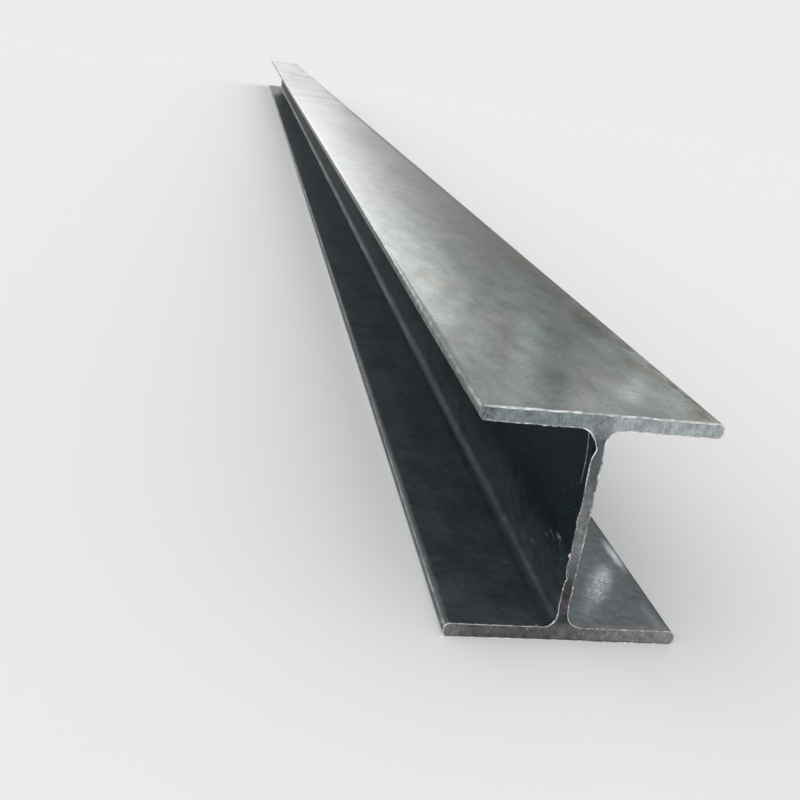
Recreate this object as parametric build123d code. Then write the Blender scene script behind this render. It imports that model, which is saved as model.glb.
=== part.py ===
from build123d import *
import os
from math import isclose

# A mill length of hot-rolled wide-flange H-beam, lying as it is stored: one flange down, the web upright.
# The steel is rolled from one bloom in one piece, so the web, the flanges and the fillets are one solid.
# X runs across the flanges, Y along the beam and Z up. The origin is the centre of the underside.

# Rolled section, in millimetres: depth over the flanges, flange width, web and flange thickness.
SECTION_DEPTH = 200.0
FLANGE_WIDTH = 200.0
WEB_THICKNESS = 8.0
FLANGE_THICKNESS = 12.0

# Concave fillet that the rolls leave where the web meets each flange.
ROOT_RADIUS = 13.0

# Flange toes: the edging roll rounds the corner that faces the web more than the outer one.
TOE_OUTER_RADIUS = 4.0
TOE_INNER_RADIUS = 5.5

# Length between the two square saw cuts.
STOCK_LENGTH = 8000.0

NODE_FOLDER = "parts"
BEAM_NODE = "h_beam"


def corners_at(sketch, across, up):
    """The four corners of the section that lie at plus and minus these distances from its centre."""
    return [
        corner
        for corner in sketch.vertices()
        if isclose(abs(corner.X), across, abs_tol=1e-6) and isclose(abs(corner.Y), up, abs_tol=1e-6)
    ]


def rolled_section():
    """The section about its own centre, with x across the flanges and y up the web."""
    half_width = FLANGE_WIDTH / 2
    half_depth = SECTION_DEPTH / 2
    inner_face = half_depth - FLANGE_THICKNESS
    flange_centre = half_depth - FLANGE_THICKNESS / 2

    with BuildSketch() as section:
        Rectangle(WEB_THICKNESS, 2 * inner_face)
        with Locations((0, flange_centre), (0, -flange_centre)):
            Rectangle(FLANGE_WIDTH, FLANGE_THICKNESS)
        fillet(corners_at(section, WEB_THICKNESS / 2, inner_face), ROOT_RADIUS)
        fillet(corners_at(section, half_width, half_depth), TOE_OUTER_RADIUS)
        fillet(corners_at(section, half_width, inner_face), TOE_INNER_RADIUS)
    return section.sketch


def h_beam():
    """The section drawn out half the length each way along Y, raised so that the lower flange rests at Z = 0."""
    mid_length = Plane(origin=(0, 0, SECTION_DEPTH / 2), x_dir=(1, 0, 0), z_dir=(0, -1, 0))
    return extrude(mid_length * rolled_section(), amount=STOCK_LENGTH / 2, both=True)


def main():
    os.makedirs(NODE_FOLDER, exist_ok=True)
    beam = h_beam()
    beam.label = BEAM_NODE
    export_step(beam, f"{NODE_FOLDER}/{BEAM_NODE}.step")


main()
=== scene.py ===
import math

import bpy
import numpy as np
from mathutils import Matrix, Vector, noise
from mathutils.geometry import delaunay_2d_cdt


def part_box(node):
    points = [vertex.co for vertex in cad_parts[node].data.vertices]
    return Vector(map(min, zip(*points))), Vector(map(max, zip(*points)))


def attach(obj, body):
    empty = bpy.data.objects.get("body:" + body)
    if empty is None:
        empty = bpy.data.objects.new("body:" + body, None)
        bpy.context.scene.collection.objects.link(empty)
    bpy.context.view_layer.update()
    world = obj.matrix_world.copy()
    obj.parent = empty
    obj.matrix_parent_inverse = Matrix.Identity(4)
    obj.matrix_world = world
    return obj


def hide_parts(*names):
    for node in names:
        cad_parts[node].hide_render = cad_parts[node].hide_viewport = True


# A length of hot-rolled H-beam with a sawn end towards the camera. X runs across the flanges, Y along
# the beam and Z up. The near end is the one at the lowest Y. Lengths are in metres.

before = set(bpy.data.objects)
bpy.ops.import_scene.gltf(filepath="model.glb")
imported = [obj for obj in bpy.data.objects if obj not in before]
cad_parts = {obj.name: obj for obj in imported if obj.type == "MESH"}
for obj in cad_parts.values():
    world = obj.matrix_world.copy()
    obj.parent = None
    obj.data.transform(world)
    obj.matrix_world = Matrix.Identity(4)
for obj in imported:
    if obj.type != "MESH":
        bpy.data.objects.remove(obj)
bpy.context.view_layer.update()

MM = 0.001
NODE = "h_beam"

# Section: the box comes from the frame, the rolled thicknesses and radii are the standard ones.
HALF_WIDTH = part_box(NODE)[1].x
HALF_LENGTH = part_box(NODE)[1].y
NEAR = -HALF_LENGTH
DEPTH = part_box(NODE)[1].z
HALF_WEB = 4 * MM
FLANGE = 12 * MM
ROOT_RADIUS = 13 * MM
TOE_OUTER = 4 * MM
TOE_INNER = 5.5 * MM

# Spacing of the points round the section and over the sawn faces, and of the rings along the beam,
# with the first ring's distance from a sawn face. A ring keeps one in COARSE_SKIP points of a straight.
OUTLINE_STEP = 0.9 * MM
FACE_STEP = 1.5 * MM
RING_STEP = 50 * MM
FIRST_RING = 14 * MM
COARSE_SKIP = 14

# Rings beside each end: how far they lie from the sawn face, and which share of the edge's ragged
# stand-out and of the burr's height they take.
EDGE_RINGS = (
    (6.0 * MM, 0.0, 0.0),
    (3.2 * MM, 0.12, 0.0),
    (1.6 * MM, 0.45, 0.0),
    (0.7 * MM, 0.85, 0.1),
    (0.2 * MM, 1.0, 0.7),
)

# The burr's tip takes these shares, and stands past the sawn face by this share of the burr's height.
# The burr's finish begins at the last ring but one.
BURR_TIP = (1.0, 0.55)
BURR_PAST_FACE = 0.5
BURR_FROM = len(EDGE_RINGS) - 2

# The flat of the sawn face begins at least this far inside the outline, and its inner points keep
# clear of the rim.
FACE_INSET = 0.45 * MM
RIM_CLEARANCE = 0.6 * FACE_STEP

# How the sawn face is filled: only inside its rim, and with points this near to each other made one.
FILL_INSIDE = 1
MERGE_WITHIN = 1e-7

# Where the near end's edge stands out or is torn away: x and z of the spot in the section, its reach
# along the edge and its height, in millimetres.
NEAR_EDGE_SPOTS = (
    (-7.5, 181.0, 3.5, 1.7),
    (-12.0, 187.5, 4.0, 0.9),
    (-4.0, 170.5, 4.6, -2.6),
    (-4.0, 146.0, 9.0, 0.6),
    (-4.0, 110.0, 6.0, 1.0),
    (-4.0, 99.0, 3.0, 0.6),
    (-4.0, 90.0, 2.5, 0.7),
    (-4.0, 78.0, 1.6, 1.3),
    (-4.0, 67.0, 5.0, 0.7),
    (-4.0, 56.5, 2.6, -1.6),
    (-4.0, 44.0, 4.0, 0.4),
    (-4.0, 23.0, 3.0, 0.6),
    (-22.5, 12.0, 1.0, 1.0),
    (4.0, 160.0, 7.0, 0.7),
    (4.0, 114.0, 5.0, 0.5),
    (4.0, 33.6, 1.6, -0.5),
    (-46.9, 188.0, 2.5, 0.6),
    (-40.0, 188.0, 1.8, 0.7),
    (-33.0, 188.0, 2.2, 0.5),
)

# The same for the far end, which is guessed.
FAR_EDGE_SPOTS = (
    (4.0, 120.0, 6.0, 1.0),
    (-4.0, 60.0, 4.0, 0.8),
    (60.0, 188.0, 5.0, 0.9),
    (-30.0, 12.0, 4.0, 0.7),
)

# A sliver of burr hangs by its upper end from the near edge: x and z of its bends and its radius
# there, in millimetres. Its middle line lies this deep behind the sawn face.
SLIVER = (
    (-11.0, 188.4, 0.50),
    (-10.9, 184.0, 0.48),
    (-9.6, 172.0, 0.46),
    (-8.9, 161.0, 0.42),
    (-8.7, 159.0, 0.80),
    (-8.9, 157.0, 0.40),
    (-9.2, 148.0, 0.34),
    (-9.7, 141.0, 0.18),
)
SLIVER_SIDES = 6
SLIVER_DEPTH = 0.6 * MM

# The web's line at the near end: height and sideways shift in millimetres. Away from the end the web
# comes back to the middle over this reach.
WEB_LINE_HEIGHT = (0, 12, 25, 34, 50, 70, 90, 120, 150, 188, 200)
WEB_LINE_SHIFT = (0, -0.6, -1.8, -2.4, -1.9, -1.6, -1.1, -0.6, -0.4, 0, 0)
WEB_LINE_REACH = 0.35

# Mill tolerance: the rolled faces rise and fall by about this much over these lengths.
WAVE_HEIGHT = 0.22 * MM
WAVE_ACROSS = 0.11
WAVE_ALONG = 0.45

# Light levels, where 1 shows white as white: the dome, what the window adds to it, how much darker
# the dome is at the horizon, and the floor. The camera itself sees an even dome.
DOME_LEVEL = 0.84
WINDOW_LEVEL = 3.2
HORIZON_DIP = 0.60
FLOOR_LEVEL = 0.835

# Ranges over which the window and the dark horizon come in or go out, as parts of a direction: up
# for the horizon, the sill and the top, forward, and up less sideways for the window's right side.
HORIZON_BAND = (0.0, 0.12)
WINDOW_SILL = (0.03, 0.12)
WINDOW_TOP = (0.205, 0.29)
WINDOW_AHEAD = (0.3, 0.7)
WINDOW_SIDE = (-0.02, 0.03)

# The sun is a wide soft one, in watts on a square metre and degrees.
SUN_STRENGTH = 0.6
SUN_ANGLE = 100
SUN_DIRECTION = (0.45, 0.55, -0.75)

# Half the floor's size, and the distances between which it fades into the dome.
FLOOR_REACH = 80.0
FADE_FROM = 5.0
FADE_TO = 10.0

# Camera of the photograph: focal length and shift for a square frame, place, and yaw, pitch and roll.
SENSOR = 36.0
FRAME_PIXELS = 800
FOCAL_PIXELS = 1034.2
PRINCIPAL_POINT = (430.2, 388.9)
CAMERA_PLACE = (-0.2930, NEAR - 0.7119, 0.4433)
CAMERA_TURNS = (-12.106, -17.841, -8.619)
CLIP_START = 0.01
CLIP_END = 500.0


def smooth(value, low, high):
    """0 below low, 1 above high and a soft step between them."""
    share = np.clip((value - low) / (high - low), 0.0, 1.0)
    return share * share * (3 - 2 * share)


def ripple(points, size, seed, octaves=2):
    """Noise of about -1 to 1 at each point, with lumps of this size."""
    shift = Vector((7.3, 3.1, 5.7)) * seed
    return np.array(
        [noise.fractal(Vector(point) / size + shift, 0.6, 2.0, octaves) for point in points]
    )


# Outline of the section


def section_corners():
    """Corners of the section, anticlockwise as seen from the near end, each with its radius."""
    inner_face = DEPTH - FLANGE
    right_side = [
        (HALF_WIDTH, 0.0, TOE_OUTER),
        (HALF_WIDTH, FLANGE, TOE_INNER),
        (HALF_WEB, FLANGE, ROOT_RADIUS),
        (HALF_WEB, inner_face, ROOT_RADIUS),
        (HALF_WIDTH, inner_face, TOE_INNER),
        (HALF_WIDTH, DEPTH, TOE_OUTER),
    ]
    left_side = [(-x, z, radius) for x, z, radius in reversed(right_side)]
    return right_side + left_side


def rounded_outline():
    """Points round the section, and True for those that the coarse rings keep."""
    corners = section_corners()
    points, kept = [], []
    for number, (x, z, radius) in enumerate(corners):
        corner = np.array((x, z))
        before = np.array(corners[number - 1][:2])
        after_x, after_z, after_radius = corners[(number + 1) % len(corners)]
        after = np.array((after_x, after_z))
        back = (before - corner) / np.linalg.norm(before - corner)
        ahead = (after - corner) / np.linalg.norm(after - corner)
        centre = corner + radius * (back + ahead)
        arc_steps = 2 * round(radius * math.pi / 4 / OUTLINE_STEP)
        for step in range(arc_steps + 1):
            turn = step / arc_steps * math.pi / 2
            points.append(centre - radius * (ahead * math.cos(turn) + back * math.sin(turn)))
            kept.append(step % 2 == 0)
        straight = np.linalg.norm(after - corner) - radius - after_radius
        line_steps = max(1, round(straight / OUTLINE_STEP))
        for step in range(1, line_steps):
            points.append(corner + ahead * (radius + straight * step / line_steps))
            kept.append(step % COARSE_SKIP == 0)
    return np.array(points), np.array(kept)


OUTLINE, KEPT = rounded_outline()
AHEAD = np.roll(OUTLINE, -1, 0) - np.roll(OUTLINE, 1, 0)
OUTWARD = np.stack([AHEAD[:, 1], -AHEAD[:, 0]], 1) / np.linalg.norm(AHEAD, axis=1)[:, None]
ROUND = np.concatenate([[0.0], np.cumsum(np.linalg.norm(np.diff(OUTLINE, axis=0), axis=1))])
GIRTH = ROUND[-1] + np.linalg.norm(OUTLINE[0] - OUTLINE[-1])
EVERY = np.arange(len(OUTLINE))


def rolled_ring(along, chosen):
    """The chosen outline points at one place along the beam, with the mill's waviness."""
    flat, out = OUTLINE[chosen], OUTWARD[chosen]
    ring = np.stack([flat[:, 0], np.full(len(flat), along), flat[:, 1]], 1)
    web_share = 1 - smooth(np.abs(flat[:, 0]), HALF_WEB + 2 * MM, HALF_WEB + ROOT_RADIUS + 8 * MM)
    shift = np.interp(flat[:, 1] / MM, WEB_LINE_HEIGHT, WEB_LINE_SHIFT) * MM
    ring[:, 0] += shift * web_share * (1 - smooth(along - NEAR, 0.0, WEB_LINE_REACH))
    stretched = ring / (WAVE_ACROSS, WAVE_ALONG, WAVE_ACROSS)
    wave = ripple(stretched, 1.0, 4) * WAVE_HEIGHT
    ring[:, (0, 2)] += out * wave[:, None]
    return ring


def edge_heights(spots, seed):
    """For each outline point: how far the sawn edge stands out, how high its burr is, and how far
    inside the outline the flat of the face begins."""
    x, z = OUTLINE.T
    on_face = np.stack([x, np.zeros(len(x)), z], 1)
    on_web = smooth(-np.abs(x), -HALF_WEB - ROOT_RADIUS, -HALF_WEB)
    on_top = smooth(z, DEPTH - 3 * MM, DEPTH - 1 * MM)
    on_low_left = smooth(-x, 14 * MM, 18 * MM) * smooth(-np.abs(z - FLANGE), -2 * MM, 0)

    ragged = 0.16 * ripple(on_face, 5 * MM, seed) + 0.10 * ripple(on_face, 1.8 * MM, seed + 1)
    height = ragged * (1 + 1.1 * on_web) + 0.25 * on_web
    height += on_top * 0.30 * ripple(on_face, 14 * MM, seed + 4)
    for spot_x, spot_z, reach, stand_out in spots:
        away = np.hypot(x / MM - spot_x, z / MM - spot_z) / reach
        height += stand_out * np.exp(-away * away)

    burr = 0.50 + 0.30 * ripple(on_face, 9 * MM, seed + 2) + 0.22 * ripple(on_face, 2.5 * MM, seed + 3)
    burr *= 1 + 0.9 * on_top + 1.2 * on_low_left
    wide = on_top * (1.3 + 0.9 * ripple(on_face, 22 * MM, seed + 5))
    inset = 0.5 * np.maximum(height, 0) + FACE_INSET / MM * (1 + wide)
    return height * MM, np.clip(burr, 0.08, 1.2) * MM, inset * MM


# Mesh of the beam


class BeamMesh:
    """Collects the beam's points and faces, with the finish and the bake place of each face."""

    def __init__(self):
        self.points = []
        self.count = 0
        self.faces = []
        self.finishes = []
        self.places = []

    def add_points(self, points):
        self.points.append(points)
        first = self.count
        self.count += len(points)
        return np.arange(first, self.count)

    def add_faces(self, faces, places, finish):
        """Faces as rows of point numbers, with a bake place (u, v) for each corner and either one
        finish for them all or one for each."""
        self.faces.extend(faces.tolist())
        self.places.append(places.reshape(-1, 2))
        self.finishes.append(np.full(len(faces), finish) if np.isscalar(finish) else finish)

    def build(self, name, materials):
        mesh = bpy.data.meshes.new(name)
        mesh.from_pydata(np.concatenate(self.points).tolist(), [], self.faces)
        for material in materials:
            mesh.materials.append(material)
        mesh.polygons.foreach_set("material_index", np.concatenate(self.finishes).astype(np.int32))
        layer = mesh.uv_layers.new(name="OFBake")
        layer.uv.foreach_set("vector", np.concatenate(self.places).ravel().astype(np.float32))
        mesh.shade_smooth()
        mesh.set_sharp_from_angle(angle=math.radians(SHARP_ANGLE))
        mesh.validate()
        beam = bpy.data.objects.new(name, mesh)
        bpy.context.scene.collection.objects.link(beam)
        return beam


MILL_OUTER, MILL_CHANNEL, SAWN, BURR = range(4)

# Edges that turn by more than this many degrees are shaded sharp.
SHARP_ANGLE = 38

# Bake places, as shares of the map: two strips of half the beam's length, a strip for each end's
# edge, a square for each sawn face, and the sliver's sides with a cap beside each end of them.
STRIP_HEIGHT = 0.285
STRIP_MARGIN = 0.002
BODY_STRIPS = (0.005, 0.300)
EDGE_STRIPS = (0.595, 0.640)
EDGE_STRIP_HEIGHT = 0.035
FACE_SQUARES = ((0.01, 0.69), (0.34, 0.69))
FACE_SQUARE_SIZE = 0.30
SLIVER_PLACE = (0.68, 0.70)
SLIVER_PLACE_SIZE = (0.30, 0.02)
CAP_DISTANCE = 0.012
CAP_RADIUS = 0.010


def outline_finish(chosen):
    """The finish beside each chosen outline point: the channels, or the outer faces and toes."""
    x, z = OUTLINE[chosen].T
    in_channel = (z > FLANGE - 2 * MM) & (z < DEPTH - FLANGE + 2 * MM) & (np.abs(x) < HALF_WIDTH - 2 * MM)
    return np.where(in_channel, MILL_CHANNEL, MILL_OUTER)


def round_shares(chosen):
    """Where each chosen point lies round the section, 0 to 1, with a last value that closes it."""
    return np.append(ROUND[chosen], GIRTH) / GIRTH


def join_rings(mesh, first, second, shares, first_at, second_at, finish, turned=False):
    """Quads between two rings of as many points, the second further along the beam. On the bake map
    the beam's length runs along u and the shares round the section along v, or the reverse when
    turned."""
    after_first, after_second = np.roll(first, -1), np.roll(second, -1)
    faces = np.stack([first, second, after_second, after_first], 1)
    here, there = shares[:-1], shares[1:]
    low = np.full(len(first), first_at)
    high = np.full(len(first), second_at)
    corners = [(low, here), (high, here), (high, there), (low, there)]
    if turned:
        corners = [(v, u) for u, v in corners]
    places = np.stack([value for corner in corners for value in corner], 1)
    mesh.add_faces(faces, places, finish)


def body_place(along, shares, half):
    """The u along a body strip, and the v of each share round the section."""
    start = -HALF_LENGTH if half == 0 else 0.0
    u = STRIP_MARGIN + (1 - 2 * STRIP_MARGIN) * (along - start) / HALF_LENGTH
    return u, BODY_STRIPS[half] + STRIP_HEIGHT * shares


def stitch(mesh, fine, coarse, fine_along, coarse_along, half):
    """Triangles between a fine ring near an end and the coarse ring beside it."""
    fine_shares = round_shares(EVERY)
    stops = np.append(np.flatnonzero(KEPT), len(OUTLINE))
    fine_u, fine_v = body_place(fine_along, fine_shares, half)
    coarse_u, coarse_v = body_place(coarse_along, fine_shares[stops], half)
    outwards = coarse_along > fine_along
    beside = outline_finish(EVERY)
    faces, places, finishes = [], [], []

    def triangle(corners, spots, which):
        if not outwards:
            corners, spots = corners[::-1], spots[::-1]
        faces.append(corners)
        places.append(spots)
        finishes.append(which)

    for number in range(len(stops) - 1):
        low, high = stops[number], stops[number + 1]
        middle = (low + high + 1) // 2
        left, right = coarse[number], coarse[(number + 1) % len(coarse)]
        left_spot = (coarse_u, coarse_v[number])
        right_spot = (coarse_u, coarse_v[number + 1])
        for step in range(low, high):
            own, following = fine[step], fine[(step + 1) % len(fine)]
            spots = (fine_u, fine_v[step]), (fine_u, fine_v[step + 1])
            anchor, anchor_spot = (left, left_spot) if step < middle else (right, right_spot)
            triangle((own, anchor, following), (spots[0], anchor_spot, spots[1]), beside[step])
        turn = fine[middle % len(fine)]
        turn_spot = (fine_u, fine_v[middle])
        triangle((turn, left, right), (turn_spot, left_spot, right_spot), beside[low])
    mesh.add_faces(np.array(faces), np.array(places), np.array(finishes))


def inside_outline(spots, outline):
    """True for each spot that lies inside the closed outline."""
    x, z = spots[:, 0], spots[:, 1]
    inside = np.zeros(len(spots), bool)
    for (x0, z0), (x1, z1) in zip(outline, np.roll(outline, -1, 0)):
        if z0 == z1:
            continue
        crosses = (z0 > z) != (z1 > z)
        inside ^= crosses & (x < (x1 - x0) * (z - z0) / (z1 - z0) + x0)
    return inside


def sawn_face(mesh, rim, rim_points, end, square):
    """Fills the rim at one end with small triangles whose points carry the saw's relief."""
    rim_flat = rim_points[:, (0, 2)]
    rows = np.arange(0, DEPTH, FACE_STEP * math.sqrt(3) / 2)
    across = np.arange(-HALF_WIDTH, HALF_WIDTH, FACE_STEP)
    grid = np.array([(x + FACE_STEP / 2 * (n % 2), z) for n, z in enumerate(rows) for x in across])
    grid = grid[inside_outline(grid, rim_flat)]
    from_rim = np.linalg.norm(grid[:, None, :] - rim_flat[None, ::2, :], axis=2).min(axis=1)
    clear = from_rim > RIM_CLEARANCE
    grid, from_rim = grid[clear], from_rim[clear]

    level = np.stack([grid[:, 0], np.full(len(grid), rim_points[:, 1].mean()), grid[:, 1]], 1)
    relief = 0.10 * ripple(level, 6 * MM, 11) + 0.06 * ripple(level, 2.2 * MM, 12)
    relief *= smooth(from_rim, 0.0, 3 * MM)
    level[:, 1] += relief * MM * end
    inner = mesh.add_points(level)

    flat = [Vector(spot) for spot in np.concatenate([rim_flat, grid])]
    boundary = [list(range(len(rim)))]
    spots, _, faces, origins, _, _ = delaunay_2d_cdt(flat, [], boundary, FILL_INSIDE, MERGE_WITHIN)
    numbers = np.concatenate([rim, inner])
    numbers = np.array([numbers[origin[0]] for origin in origins])
    corners = np.array(faces)
    flat_spots = np.array([tuple(spot) for spot in spots])
    a, b, c = (flat_spots[corners[:, k]] for k in range(3))
    turned = np.cross(b - a, c - a) * -end < 0
    corners[turned] = corners[turned][:, ::-1]
    shares = (flat_spots + (HALF_WIDTH, 0)) / DEPTH
    places = np.array(square) + FACE_SQUARE_SIZE * np.clip(shares, 0, 1)
    mesh.add_faces(numbers[corners], places[corners], SAWN)


def sawn_end(mesh, end, spots, seed):
    """One end, -1 near or 1 far: fine rings, the burr and the sawn face. Returns its innermost ring."""
    stand_out, burr, inset = edge_heights(spots, seed)
    number = 0 if end < 0 else 1
    shares = round_shares(EVERY)
    finish = outline_finish(EVERY)

    def ring_at(depth, edge_share, burr_share):
        ring = rolled_ring(end * HALF_LENGTH - end * depth, EVERY)
        out = stand_out * edge_share + burr * burr_share
        ring[:, (0, 2)] += OUTWARD * out[:, None]
        ring[:, 2] = np.maximum(ring[:, 2], 0.0)
        return ring

    rings = [ring_at(*entry) for entry in EDGE_RINGS]
    tip = ring_at(0.0, *BURR_TIP)
    tip[:, 1] += end * burr * BURR_PAST_FACE
    rim = ring_at(0.0, 1.0, 0.0)
    rim[:, (0, 2)] -= OUTWARD * inset[:, None]
    rings += [tip, rim]

    joins = len(rings) - 1
    stops = [EDGE_STRIPS[number] + EDGE_STRIP_HEIGHT * place / joins for place in range(len(rings))]
    laid = [(mesh.add_points(ring), stop) for ring, stop in zip(rings, stops)]
    for place in range(joins):
        pair = laid[place : place + 2]
        if end < 0:
            pair.reverse()
        (first, first_at), (second, second_at) = pair
        which = BURR if place >= BURR_FROM else finish
        join_rings(mesh, first, second, shares, first_at, second_at, which, turned=True)
    sawn_face(mesh, laid[-1][0], rim, end, FACE_SQUARES[number])
    return laid[0][0]


def hanging_sliver(mesh):
    """A thin closed thread of steel that hangs beside the web at the near end."""
    turns = np.arange(SLIVER_SIDES) / SLIVER_SIDES * math.tau
    sides = SLIVER_PLACE[1] + SLIVER_PLACE_SIZE[1] * np.arange(SLIVER_SIDES + 1) / SLIVER_SIDES
    rings, stops = [], []
    for number, (x, z, radius) in enumerate(SLIVER):
        level = np.full(SLIVER_SIDES, z)
        ring = np.stack([x + radius * np.cos(turns), radius * np.sin(turns), level], 1) * MM
        ring[:, 1] += NEAR + SLIVER_DEPTH
        rings.append(mesh.add_points(ring))
        stops.append(SLIVER_PLACE[0] + SLIVER_PLACE_SIZE[0] * number / len(SLIVER))
    for number in range(len(SLIVER) - 1):
        ends = rings[number], rings[number + 1]
        join_rings(mesh, *ends, sides, stops[number], stops[number + 1], SAWN)
    caps = (rings[0], stops[0] - CAP_DISTANCE), (rings[-1][::-1], stops[-1] + CAP_DISTANCE)
    for ring, u in caps:
        v = sides[SLIVER_SIDES // 2]
        spots = np.stack([u + CAP_RADIUS * np.cos(turns), v + CAP_RADIUS * np.sin(turns)], 1)
        mesh.add_faces(ring[None], spots[None], SAWN)


def build_beam(materials):
    """The beam as one object: the sliver, both ends, the rings between them and the stitches."""
    mesh = BeamMesh()
    hanging_sliver(mesh)
    near = sawn_end(mesh, -1, NEAR_EDGE_SPOTS, 21)
    far = sawn_end(mesh, 1, FAR_EDGE_SPOTS, 31)
    chosen = np.flatnonzero(KEPT)
    reach = HALF_LENGTH - FIRST_RING
    half_steps = round(reach / RING_STEP)
    near_half = np.linspace(-reach, 0, half_steps + 1)
    far_half = np.linspace(0, reach, half_steps + 1)
    places = np.concatenate([near_half, far_half[1:]])
    rings = []
    for along in places:
        ring = rolled_ring(along, chosen)
        ring[:, 2] = np.maximum(ring[:, 2], 0.0)
        rings.append(mesh.add_points(ring))
    shares = round_shares(chosen)
    finish = outline_finish(chosen)
    for number in range(len(places) - 1):
        half = 0 if number < half_steps else 1
        low_u, sides = body_place(places[number], shares, half)
        high_u, _ = body_place(places[number + 1], shares, half)
        join_rings(mesh, rings[number], rings[number + 1], sides, low_u, high_u, finish)
    edge = HALF_LENGTH - EDGE_RINGS[0][0]
    stitch(mesh, near, rings[0], -edge, places[0], 0)
    stitch(mesh, far, rings[-1], edge, places[-1], 1)
    return mesh.build("h_beam_steel", materials)


# Finishes


# Each noise is laid this many lumps away from the origin, so that no two sizes of it line up there.
NOISE_SHIFT = 91

# A spot on a face reaches this many millimetres through it, so that it lies evenly on the face.
SPOT_DEPTH = 50


class Finish:
    """The nodes of one material, or of the world. Patterns are laid out in the beam's own metres, so
    they stay on it."""

    def __init__(self, name, world=None):
        self.owner = world or bpy.data.materials.new(name)
        self.owner.use_nodes = True
        self.tree = self.owner.node_tree
        self.tree.nodes.clear()
        self.place = self.node("ShaderNodeTexCoord").outputs["Generated" if world else "Object"]
        apart = self.node("ShaderNodeSeparateXYZ", {"Vector": self.place})
        self.x, self.y, self.z = apart.outputs["X"], apart.outputs["Y"], apart.outputs["Z"]

    def node(self, kind, inputs=None, **settings):
        made = self.tree.nodes.new(kind)
        for name, value in settings.items():
            setattr(made, name, value)
        for name, value in (inputs or {}).items():
            self.plug(made.inputs[name], value)
        return made

    def plug(self, socket, value):
        if isinstance(value, bpy.types.NodeSocket):
            self.tree.links.new(value, socket)
        else:
            socket.default_value = value

    def maths(self, operation, *values):
        inputs = dict(enumerate(values))
        return self.node("ShaderNodeMath", inputs, operation=operation).outputs[0]

    def span(self, value, low, high, first=0.0, last=1.0):
        """A soft step from first to last while the value goes from low to high."""
        inputs = {"Value": value, 1: low, 2: high, 3: first, 4: last}
        made = self.node("ShaderNodeMapRange", inputs, interpolation_type="SMOOTHSTEP")
        return made.outputs[0]

    def noise(self, size, detail=3.0, stretch=(1, 1, 1), turn=(0, 0, 0)):
        """Cloudy noise, 0 to 1, with lumps of this size times the stretch along each turned axis."""
        turned = self.node("ShaderNodeMapping", {"Vector": self.place, "Rotation": turn}).outputs[0]
        scale = tuple(1 / (size * share) for share in stretch)
        inputs = {"Vector": turned, "Scale": scale, "Location": (size * NOISE_SHIFT,) * 3}
        laid = self.node("ShaderNodeMapping", inputs).outputs[0]
        inputs = {"Vector": laid, "Scale": 1.0, "Detail": detail, "Roughness": 0.55}
        return self.node("ShaderNodeTexNoise", inputs).outputs["Fac"]

    def grains(self, size, rarity, cluster):
        """Small ragged grains in clusters: 1 on a grain. The higher the rarity, 0 to 1, the fewer."""
        threshold = 0.5 + 0.3 * rarity
        grain = self.span(self.noise(size, 2), threshold, threshold + 0.06)
        return self.both(grain, self.span(self.noise(cluster, 2), 0.42, 0.60))

    def patch(self, centre, reach, lean=0.0):
        """A soft oval spot: 1 in its middle. Centre and reach are (x, y, z) in metres. Its long way
        leans from Y towards X by this many degrees."""
        inputs = {0: self.place, 1: centre}
        away = self.node("ShaderNodeVectorMath", inputs, operation="SUBTRACT").outputs[0]
        inputs = {"Vector": away, "Angle": math.radians(lean)}
        away = self.node("ShaderNodeVectorRotate", inputs).outputs[0]
        inputs = {0: away, 1: tuple(1 / r for r in reach)}
        scaled = self.node("ShaderNodeVectorMath", inputs, operation="MULTIPLY").outputs[0]
        length = self.node("ShaderNodeVectorMath", {0: scaled}, operation="LENGTH").outputs["Value"]
        return self.span(length, 0.0, 1.0, 1.0, 0.0)

    def flat_spot(self, height, x, along, across, length, lean=0.0, depth=SPOT_DEPTH):
        """A soft spot on an upward face at this height. Its x, its place along from the near end and
        its reaches across, along and through the face are in millimetres."""
        centre = (x * MM, NEAR + along * MM, height)
        return self.patch(centre, (across * MM, length * MM, depth * MM), lean)

    def mix(self, share, first, second):
        """The first colour where the share is 0, the second where it is 1, and blended between."""
        made = self.node("ShaderNodeMix", data_type="RGBA")
        for number, value in ((0, share), (6, first), (7, second)):
            self.plug(made.inputs[number], value)
        return made.outputs[2]

    def shade(self, colour, factor):
        """The colour, made lighter or darker by a factor."""
        inputs = {0: colour, "Scale": factor}
        return self.node("ShaderNodeVectorMath", inputs, operation="SCALE").outputs[0]

    def shade_where(self, colour, share, factor):
        """The colour, times the factor where the share is 1 and unchanged where it is 0."""
        return self.shade(colour, self.maths("MULTIPLY_ADD", share, factor - 1, 1.0))

    def both(self, first, second):
        return self.maths("MULTIPLY", first, second)

    def bumps(self, *layers):
        """Bumps on top of each other: each layer is (height from 0 to 1, its depth in metres)."""
        normal = None
        for height, depth in layers:
            inputs = {"Height": height, "Distance": depth, "Strength": 1.0}
            if normal is not None:
                inputs["Normal"] = normal
            normal = self.node("ShaderNodeBump", inputs).outputs["Normal"]
        return normal

    def steel(self, colour, roughness, edge_tint, normal, metallic=1.0, ior=1.45):
        """A metal surface. The edge tint holds back the glare at grazing angles, as scale does."""
        inputs = {
            "Base Color": colour,
            "Roughness": roughness,
            "Metallic": metallic,
            "IOR": ior,
            "Specular Tint": (edge_tint, edge_tint, edge_tint, 1.0),
            "Normal": normal,
        }
        return self.output(self.node("ShaderNodeBsdfPrincipled", inputs))

    def output(self, shader):
        self.node("ShaderNodeOutputMaterial", {"Surface": shader.outputs[0]})
        return self.owner


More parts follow.
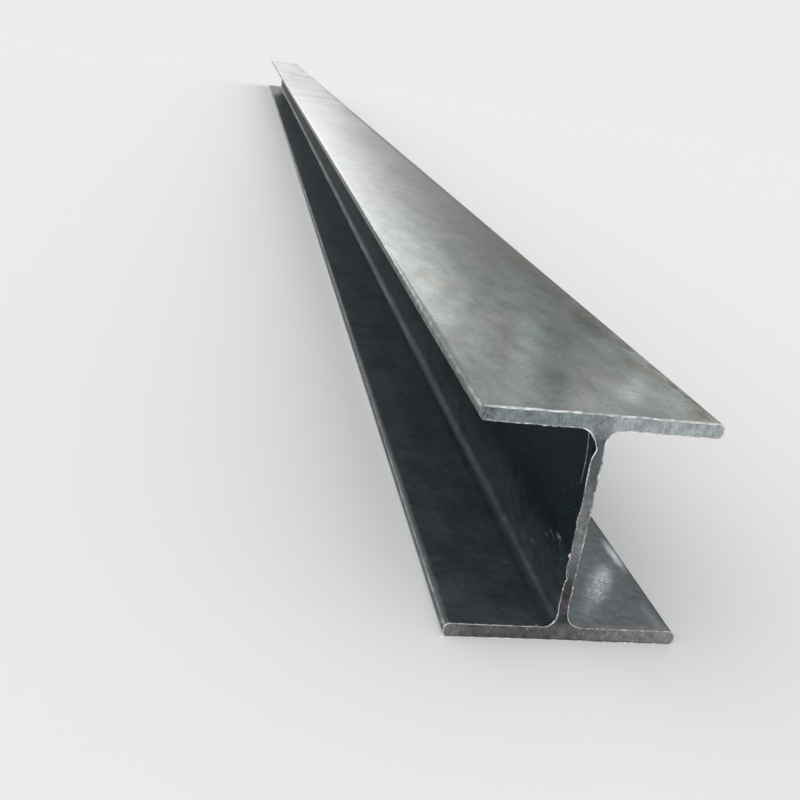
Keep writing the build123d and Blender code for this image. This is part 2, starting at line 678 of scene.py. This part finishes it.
def srgb(red, green, blue):
    """A colour as a screen shows it, 0 to 255, as the linear colour that a shader takes."""
    levels = [level / 255 for level in (red, green, blue)]
    linear = [v / 12.92 if v <= 0.04045 else ((v + 0.055) / 1.055) ** 2.4 for v in levels]
    return (*linear, 1.0)


# Painted reflections on the top face: lighter and darker streaks that stand in for what the steel
# mirrors. Each gives x, y from the near end and the reach across and along, in millimetres, the lean in
# degrees, and how much lighter (over 1) or darker it is there.
TOP_PAINTED_REFLECTIONS = (
    (-24, 58, 21, 120, 16.0, 0.64),
    (34, 234, 20, 92, 15.0, 0.80),
    (-16, 185, 22, 215, 16.5, 1.46),
    (54, 82, 15, 80, 26.0, 1.40),
    (78, 290, 24, 82, 8.0, 0.60),
    (16, 370, 50, 230, 10.0, 1.24),
    (42, 62, 34, 100, 20.0, 1.20),
    (74, 30, 44, 60, 0.0, 1.24),
    (70, 110, 80, 230, 10.0, 1.22),
    (95, 170, 17, 420, 0.0, 1.48),
    (0, 40, 130, 90, 0.0, 1.12),
    (92, 560, 54, 440, 0.0, 0.76),
    (30, 1650, 90, 900, 0.0, 0.80),
    (104, 2600, 130, 2600, 0.0, 0.55),
    (-92, 3200, 44, 1700, 0.0, 1.12),
)

# Rusty stains of the top face, laid out in the same way, with the share of brown in the last place.
TOP_STAINS = (
    (92, 26, 13, 42, 0.30),
    (78, 153, 14, 24, 0.35),
    (84, 335, 18, 46, 0.45),
    (76, 579, 20, 80, 0.50),
    (-8, 186, 12, 20, 0.25),
    (88, 900, 16, 160, 0.45),
)

# Where the top face is cooler in colour, laid out in the same way with the lean last.
COOL_STREAK = (-27, 110, 44, 260, 16.0)


def cloudy_grey(f, clouds, mottle, drag):
    """The outer scale's greys before the painted reflections and the stains: greenish clouds with warmer
    and bluer ones among them.
    """
    colour = f.mix(f.span(clouds, 0.3, 0.7), srgb(175, 184, 181), srgb(190, 194, 191))
    hues = f.noise(0.040, 3, (1, 3.0, 1))
    colour = f.mix(f.span(hues, 0.5, 0.68, 0.0, 0.4), colour, srgb(187, 183, 175))
    colour = f.mix(f.span(hues, 0.32, 0.5, 0.4, 0.0), colour, srgb(166, 182, 185))
    cool = f.flat_spot(DEPTH, *COOL_STREAK)
    colour = f.mix(f.both(cool, 0.7), colour, srgb(171, 182, 182))
    grit = f.noise(0.0032, 3, (1, 2.2, 1))
    colour = f.shade(colour, f.span(mottle, 0.3, 0.7, 0.88, 1.12))
    colour = f.shade(colour, f.span(grit, 0.25, 0.75, 0.92, 1.08))
    return f.shade(colour, f.span(drag, 0.3, 0.75, 1.02, 0.97))


def top_reflections_and_stains(f, colour, drag):
    """The colour with the top face's painted reflections and its rust stains."""
    broken = f.span(drag, 0.3, 0.7, 0.65, 1.0)
    # Painted reflections: each spot lightens or darkens the top face, broken up by the drag marks.
    for *spot, factor in TOP_PAINTED_REFLECTIONS:
        painted_reflection = f.both(f.flat_spot(DEPTH, *spot), broken)
        colour = f.shade_where(colour, painted_reflection, factor)
    blotch = f.span(f.noise(0.008, 4), 0.35, 0.6, 0.3, 1.0)
    for *spot, share in TOP_STAINS:
        brown = f.both(f.both(f.flat_spot(DEPTH, *spot), blotch), share)
        colour = f.mix(brown, colour, srgb(150, 132, 103))
    return colour


def toe_rust(f, colour):
    """The colour with rust, and with bare flecks that are partly painted glints, in a ragged strip beside
    the right toe.
    """
    ragged = f.maths("MULTIPLY_ADD", f.noise(0.012, 4, (1, 2.5, 1)), 24 * MM, f.x)
    strip = f.span(ragged, HALF_WIDTH - 14 * MM, HALF_WIDTH + 4 * MM)
    strip = f.both(strip, f.span(f.x, HALF_WIDTH - 5 * MM, HALF_WIDTH - 1 * MM, 1.0, 0.5))
    rust = f.both(strip, f.span(f.noise(0.010, 4, (1, 3.5, 1)), 0.42, 0.62, 0.0, 0.75))
    colour = f.mix(rust, colour, srgb(176, 164, 143))
    # Partly bare steel and partly painted glints: small white flecks along the strip.
    flakes_and_glints = f.both(f.both(strip, f.grains(0.0035, 0.22, 0.03)), 0.85)
    return f.mix(flakes_and_glints, colour, srgb(240, 240, 234))


def outer_scale():
    """Mill scale of the outer faces and toes: satin, greenish grey and cloudy, with rust along the toes,
    painted reflections on the top face and painted shade on the toes.
    """
    f = Finish("mill_scale_outer")
    clouds = f.noise(0.15, 3, (1, 3.0, 1))
    mottle = f.noise(0.020, 4, (1, 3.0, 1))
    drag = f.noise(0.006, 4, (5, 1, 1), (0, 0, 0.2))
    colour = cloudy_grey(f, clouds, mottle, drag)
    colour = toe_rust(f, top_reflections_and_stains(f, colour, drag))

    sideways = f.maths("ABSOLUTE", f.x)
    # Painted shade: the toes are darker all along the beam.
    toe = f.span(sideways, HALF_WIDTH - 3.5 * MM, HALF_WIDTH - 0.8 * MM)
    colour = f.shade_where(colour, toe, 0.74)
    # Painted shade: near the cut the toe's upper round is darkened further, and the same band is made
    # rougher below.
    end_band = f.span(sideways, HALF_WIDTH - 5 * MM, HALF_WIDTH - 3 * MM)
    end_band = f.both(end_band, f.span(f.y, NEAR + 0.15, NEAR + 0.60, 1.0, 0.0))
    colour = f.shade_where(colour, end_band, 0.66)
    scars = f.noise(0.005, 4, (1, 3, 1))
    colour = f.shade_where(colour, f.both(toe, f.span(scars, 0.5, 0.62)), 1.5)

    roughness = f.maths("MULTIPLY_ADD", end_band, 0.35, f.span(clouds, 0.25, 0.75, 0.12, 0.17))
    fine = f.noise(0.0018, 2, (1, 2.0, 1))
    normal = f.bumps((mottle, 0.08 * MM), (fine, 0.008 * MM))
    return f.steel(colour, roughness, 0.34, normal)


# Light places of the lower flange's upper face, on the right, laid out like those of the top face.
LOW_PATCHES = (
    (50, 84, 40, 95, 26.6, 1.25),
    (69, 97, 10, 24, 28.0, 1.60),
    (92, 136, 6.5, 42, 0.0, 3.60),
    (26, 26, 26, 34, 0.0, 1.40),
    (88, 24, 8, 38, 0.0, 1.30),
)

# Where the same face is scoured bare, with the lean last, and how far these places reach through it.
BARE_SPOT = (57, 74, 16, 66, 28.0)
LOW_SPOT_DEPTH = 30

# Pale dust on the left side of the web: its place from the end and up and its reach both ways, in
# millimetres, and its share. Its depth is how far it reaches through the web's face.
WEB_DUST_DEPTH = 20 * MM
WEB_DUST = (
    (34, 78, 11, 4.0, 1.00),
    (27, 73, 7, 3.5, 0.55),
    (52, 72, 16, 3.0, 0.45),
    (64, 64, 9, 4.0, 0.60),
    (82, 52, 12, 4.5, 0.50),
    (96, 42, 16, 6.0, 0.40),
)


def left_channel(f, clouds, scratched):
    """Blue-black from painted shade, with painted light making it paler low on the web, a less darkened
    flange, and pale dust near the cut.
    """
    tints = f.noise(0.035, 3)
    # Painted shade: the web here and the flange below get much darker copies of the scale's grey than the
    # other faces, blue-black on the web.
    web = f.mix(f.span(tints, 0.35, 0.65), srgb(23, 35, 43), srgb(19, 38, 43))
    web = f.shade(web, f.span(clouds, 0.3, 0.7, 0.54, 1.02))
    # Painted light: just above the root the web is paler, less so higher up and further from the cut.
    above_root = f.span(f.z, 15.5 * MM, 20.5 * MM, 0.05, 1.0)
    low_down = f.both(above_root, f.span(f.z, 22 * MM, 90 * MM, 1.0, 0.0))
    low_down = f.both(low_down, f.span(f.y, NEAR + 0.06, NEAR + 0.20, 1.0, 0.7))
    low_down = f.both(low_down, f.span(f.noise(0.010, 5, (1, 2.2, 1)), 0.32, 0.68, 0.72, 1.16))
    web = f.mix(low_down, web, f.mix(clouds, srgb(70, 78, 81), srgb(84, 91, 95)))
    flange = f.mix(clouds, srgb(73, 80, 84), srgb(87, 94, 98))
    on_flange = f.span(f.maths("ABSOLUTE", f.x), 8 * MM, 20 * MM)
    colour = f.shade_where(f.mix(on_flange, web, flange), scratched, 1.9)
    colour = f.shade(colour, f.span(f.noise(0.026, 4, (1, 1.6, 1)), 0.35, 0.65, 0.84, 1.10))

    near_cut = f.span(f.y, NEAR + 0.02, NEAR + 0.12, 0.28, 0.05)
    crumbs = f.both(f.grains(0.0022, 0.45, 0.02), near_cut)
    colour = f.mix(crumbs, colour, srgb(150, 158, 160))
    specks = f.span(f.noise(0.0025, 4, (1, 2, 1)), 0.40, 0.60)
    for along, z, length, up, share in WEB_DUST:
        centre = (-HALF_WEB, NEAR + along * MM, z * MM)
        dust = f.patch(centre, (WEB_DUST_DEPTH, length * MM, up * MM))
        colour = f.mix(f.both(f.both(dust, specks), share), colour, srgb(134, 132, 138))
    return colour


def right_channel(f, clouds, scratched):
    """Grey scale, lighter than the left side's painted shade, scoured bare in one place and scuffed paler
    at the very edge of the cut.
    """
    colour = f.mix(f.span(clouds, 0.3, 0.7), srgb(104, 111, 114), srgb(126, 131, 133))
    for *spot, factor in LOW_PATCHES:
        colour = f.shade_where(colour, f.flat_spot(FLANGE, *spot, LOW_SPOT_DEPTH), factor)
    bare = f.flat_spot(FLANGE, *BARE_SPOT, LOW_SPOT_DEPTH)
    colour = f.shade_where(colour, bare, 1.85)
    sparkle = f.span(f.noise(0.0022, 3), 0.48, 0.68)
    colour = f.mix(f.both(f.both(bare, sparkle), 0.8), colour, srgb(250, 252, 252))
    colour = f.shade_where(colour, scratched, 1.35)
    end_band = f.span(f.y, NEAR + 3 * MM, NEAR + 10 * MM, 1.0, 0.0)
    end_band = f.both(end_band, f.span(f.z, FLANGE + 0.5 * MM, FLANGE + 2 * MM, 1.0, 0.0))
    return f.mix(f.both(end_band, 0.5), colour, srgb(158, 154, 146))


def channel_scale():
    """Mill scale inside the channels: painted shade makes the left side blue-black, the right side is
    grey.
    """
    f = Finish("mill_scale_channel")
    clouds = f.noise(0.06, 4, (1, 2.0, 1))
    mottle = f.noise(0.009, 4)
    scuffs = f.noise(0.0026, 3, (1, 14, 1), (0.8, 0, 0.5))
    scratched = f.span(scuffs, 0.62, 0.72)
    left, right = left_channel(f, clouds, scratched), right_channel(f, clouds, scratched)
    colour = f.mix(f.span(f.x, -2 * MM, 2 * MM), left, right)
    colour = f.shade(colour, f.span(mottle, 0.25, 0.75, 0.84, 1.16))
    roughness = f.span(clouds, 0.25, 0.75, 0.36, 0.48)
    fine = f.noise(0.0016, 2, (1, 2.0, 1))
    normal = f.bumps((mottle, 0.15 * MM), (fine, 0.03 * MM))
    metallic = f.span(f.x, -2 * MM, 2 * MM, 0.5, 1.0)
    return f.steel(colour, roughness, 0.35, normal, metallic, 1.2)


# Bluish and dull places of the near sawn face: x and z, reach across and up, all in millimetres,
# and how much darker or lighter it is there.
SAWN_PATCHES = (
    (-90, 193, 6, 5, 0.80),
    (-62, 195, 10, 5, 0.70),
    (-52, 189, 9, 4, 0.80),
    (14, 190, 12, 7, 1.12),
    (8, 180, 6, 5, 1.15),
    (0, 6, 12, 9, 1.25),
    (88, 6, 16, 10, 1.25),
    (38, 5, 9, 3, 1.20),
    (-9.8, 160, 3, 34, 1.70),
)


def sawn_steel():
    """The sawn face: matt bare steel with the saw's fine marks, lighter on the top flange."""
    f = Finish("sawn_steel")
    mottle = f.noise(0.006, 4)
    tints = f.noise(0.011, 3)
    marks = f.noise(0.0009, 3, (1, 1, 9), (0, 0.12, 0))
    middle = f.span(f.maths("ABSOLUTE", f.maths("ADD", f.x, 2 * MM)), 0.0, 16 * MM, 0.72, 1.0)
    top = f.mix(f.span(f.x, -30 * MM, 20 * MM), srgb(137, 148, 151), srgb(172, 179, 181))
    top = f.shade(top, middle)
    web = f.mix(f.span(f.z, 120 * MM, 150 * MM), srgb(126, 127, 129), srgb(98, 104, 107))
    web = f.mix(f.span(f.z, 45 * MM, 80 * MM), srgb(70, 70, 71), web)
    low = f.mix(f.span(f.x, -10 * MM, 60 * MM), srgb(104, 104, 103), srgb(144, 143, 143))
    low = f.shade(low, f.span(f.x, -92 * MM, -76 * MM, 1.6, 1.0))
    colour = f.mix(f.span(f.z, 10 * MM, 22 * MM), low, web)
    colour = f.mix(f.span(f.z, 176 * MM, 188 * MM), colour, top)
    colour = f.shade(colour, f.span(mottle, 0.2, 0.8, 0.68, 1.32))
    colour = f.shade(colour, f.span(marks, 0.25, 0.75, 0.87, 1.13))
    colour = f.shade(colour, f.span(f.noise(0.0009, 2), 0.3, 0.7, 0.86, 1.14))
    for x, z, across, up, factor in SAWN_PATCHES:
        spot = f.patch((x * MM, NEAR, z * MM), (across * MM, SPOT_DEPTH * MM, up * MM))
        colour = f.shade_where(colour, spot, factor)
    violet = f.span(tints, 0.52, 0.68, 0.0, 0.35)
    colour = f.mix(violet, colour, srgb(120, 112, 122))
    blot = f.patch((-94 * MM, NEAR, 194 * MM), (11 * MM, SPOT_DEPTH * MM, 9 * MM))
    blot = f.both(blot, f.span(f.noise(0.0034, 3), 0.32, 0.62, 0.1, 0.9))
    colour = f.mix(blot, colour, srgb(80, 72, 74))
    colour = f.mix(f.both(f.grains(0.0016, 0.4, 0.012), 0.4), colour, srgb(222, 226, 226))
    # Browner and darker towards the very bottom edge.
    bottom_band = f.span(f.z, 0.2 * MM, 2.2 * MM, 0.6, 0.0)
    colour = f.mix(bottom_band, colour, srgb(72, 52, 38))
    normal = f.bumps((mottle, 0.25 * MM), (marks, 0.04 * MM))
    return f.steel(colour, 0.5, 1.0, normal)


def burr_steel():
    """The thin rim of bright bare steel that the saw leaves round the face, with painted shade along the
    web, under the top flange and round the left top toe.
    """
    f = Finish("burr_steel")
    clouds = f.noise(0.008, 3)
    colour = f.mix(f.span(clouds, 0.35, 0.65), srgb(176, 182, 184), srgb(250, 252, 251))
    sideways = f.maths("ABSOLUTE", f.x)
    # Painted shade: the burr is darkened, in broken patches, along the web and under the left of the top
    # flange.
    on_web = f.both(f.span(sideways, 9 * MM, 15 * MM, 1.0, 0.0), f.span(f.z, 20 * MM, 30 * MM))
    on_web = f.both(on_web, f.span(f.z, 160 * MM, 166 * MM, 1.0, 0.0))
    under = f.both(f.span(f.x, -20 * MM, -14 * MM, 1.0, 0.0), f.span(f.z, 190 * MM, 192 * MM, 1.0, 0.0))
    under = f.both(under, f.span(f.z, 100 * MM, 110 * MM))
    burr_shade = f.both(f.maths("MAXIMUM", on_web, under), f.span(f.noise(0.003, 2), 0.42, 0.62, 1.0, 0.2))
    colour = f.shade_where(colour, burr_shade, 0.34)
    # Painted shade also darkens the burr round the left top toe.
    past_toe = f.span(f.x, -HALF_WIDTH + 1.6 * MM, -HALF_WIDTH + 3.4 * MM, 1.0, 0.0)
    round_toe = f.both(past_toe, f.span(f.z, DEPTH - 15 * MM, DEPTH - 13 * MM))
    colour = f.shade_where(colour, round_toe, 0.30)
    low_right = f.both(f.span(f.x, 10 * MM, 16 * MM), f.span(f.z, 20 * MM, 26 * MM, 1.0, 0.0))
    low_right = f.both(low_right, f.span(f.noise(0.003, 2), 0.40, 0.58, 1.0, 0.0))
    colour = f.shade_where(colour, low_right, 0.40)
    warm = f.both(f.span(f.x, 40 * MM, 90 * MM), f.span(f.z, 150 * MM, 190 * MM))
    colour = f.mix(f.both(warm, 0.3), colour, srgb(222, 212, 178))
    normal = f.bumps((f.noise(0.001, 2), 0.1 * MM))
    return f.steel(colour, 0.35, 1.0, normal)


# Studio


def floor_material():
    """Pale and matt, with the beam's shadow. Far away it fades into the dome, so no horizon shows."""
    f = Finish("pale_floor")
    matt = f.node("ShaderNodeBsdfDiffuse", {"Color": (FLOOR_LEVEL, FLOOR_LEVEL, FLOOR_LEVEL, 1.0)})
    dome = f.node("ShaderNodeEmission", {"Strength": DOME_LEVEL})
    away = f.node("ShaderNodeVectorMath", {0: f.place}, operation="LENGTH").outputs["Value"]
    ray = f.node("ShaderNodeLightPath").outputs
    looked_at = f.maths("MAXIMUM", ray["Is Camera Ray"], ray["Is Glossy Ray"])
    looked_at = f.maths("MAXIMUM", looked_at, ray["Is Transmission Ray"])
    share = f.both(f.span(away, FADE_FROM, FADE_TO), looked_at)
    return f.output(f.node("ShaderNodeMixShader", {0: share, 1: matt.outputs[0], 2: dome.outputs[0]}))


def floor():
    corners = [(x * FLOOR_REACH, y * FLOOR_REACH, 0) for x, y in ((-1, -1), (1, -1), (1, 1), (-1, 1))]
    mesh = bpy.data.meshes.new("studio_floor")
    mesh.from_pydata(corners, [], [(0, 1, 2, 3)])
    mesh.materials.append(floor_material())
    stage = bpy.data.objects.new("studio_floor", mesh)
    bpy.context.scene.collection.objects.link(stage)


def studio_world():
    """A pale even dome. The steel also mirrors a brighter window low over the far end, on the left."""
    w = Finish("studio", bpy.data.worlds.new("studio"))
    bpy.context.scene.world = w.owner
    beside = w.span(w.maths("SUBTRACT", w.z, w.x), *WINDOW_SIDE)
    low_down = w.both(w.span(w.z, *WINDOW_TOP, 1.0, 0.0), w.span(w.z, *WINDOW_SILL))
    ahead = w.span(w.y, *WINDOW_AHEAD)
    hidden = w.maths("SUBTRACT", 1.0, w.node("ShaderNodeLightPath").outputs["Is Camera Ray"])
    window = w.both(w.both(beside, low_down), w.both(ahead, hidden))
    dusk = w.both(w.span(w.z, *HORIZON_BAND, HORIZON_DIP, 0.0), hidden)
    dome = w.maths("SUBTRACT", DOME_LEVEL, dusk)
    level = w.maths("MULTIPLY_ADD", window, WINDOW_LEVEL, dome)
    light = w.node("ShaderNodeBackground", {"Color": (1.0, 1.0, 1.0, 1.0), "Strength": level})
    w.node("ShaderNodeOutputWorld", {"Surface": light.outputs[0]})


def sun():
    light = bpy.data.lights.new("sun", "SUN")
    light.energy = SUN_STRENGTH
    light.angle = math.radians(SUN_ANGLE)
    holder = bpy.data.objects.new("sun", light)
    holder.rotation_euler = Vector(SUN_DIRECTION).to_track_quat("-Z", "Y").to_euler()
    bpy.context.scene.collection.objects.link(holder)


def camera():
    view = bpy.data.cameras.new("camera")
    view.sensor_width = SENSOR
    view.lens = FOCAL_PIXELS / FRAME_PIXELS * SENSOR
    view.shift_x = (FRAME_PIXELS / 2 - PRINCIPAL_POINT[0]) / FRAME_PIXELS
    view.shift_y = (PRINCIPAL_POINT[1] - FRAME_PIXELS / 2) / FRAME_PIXELS
    view.clip_start = CLIP_START
    view.clip_end = CLIP_END
    yaw, pitch, roll = (math.radians(turn) for turn in CAMERA_TURNS)
    turned = Matrix.Rotation(yaw, 4, "Z") @ Matrix.Rotation(pitch, 4, "X") @ Matrix.Rotation(roll, 4, "Y")
    holder = bpy.data.objects.new("camera", view)
    holder.matrix_world = Matrix.Translation(CAMERA_PLACE) @ turned @ Matrix.Rotation(math.pi / 2, 4, "X")
    bpy.context.scene.collection.objects.link(holder)
    bpy.context.scene.camera = holder


beam = build_beam([outer_scale(), channel_scale(), sawn_steel(), burr_steel()])
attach(beam, "root")
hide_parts(NODE)

floor()
studio_world()
sun()
camera()
bpy.context.scene.view_settings.view_transform = "Standard"
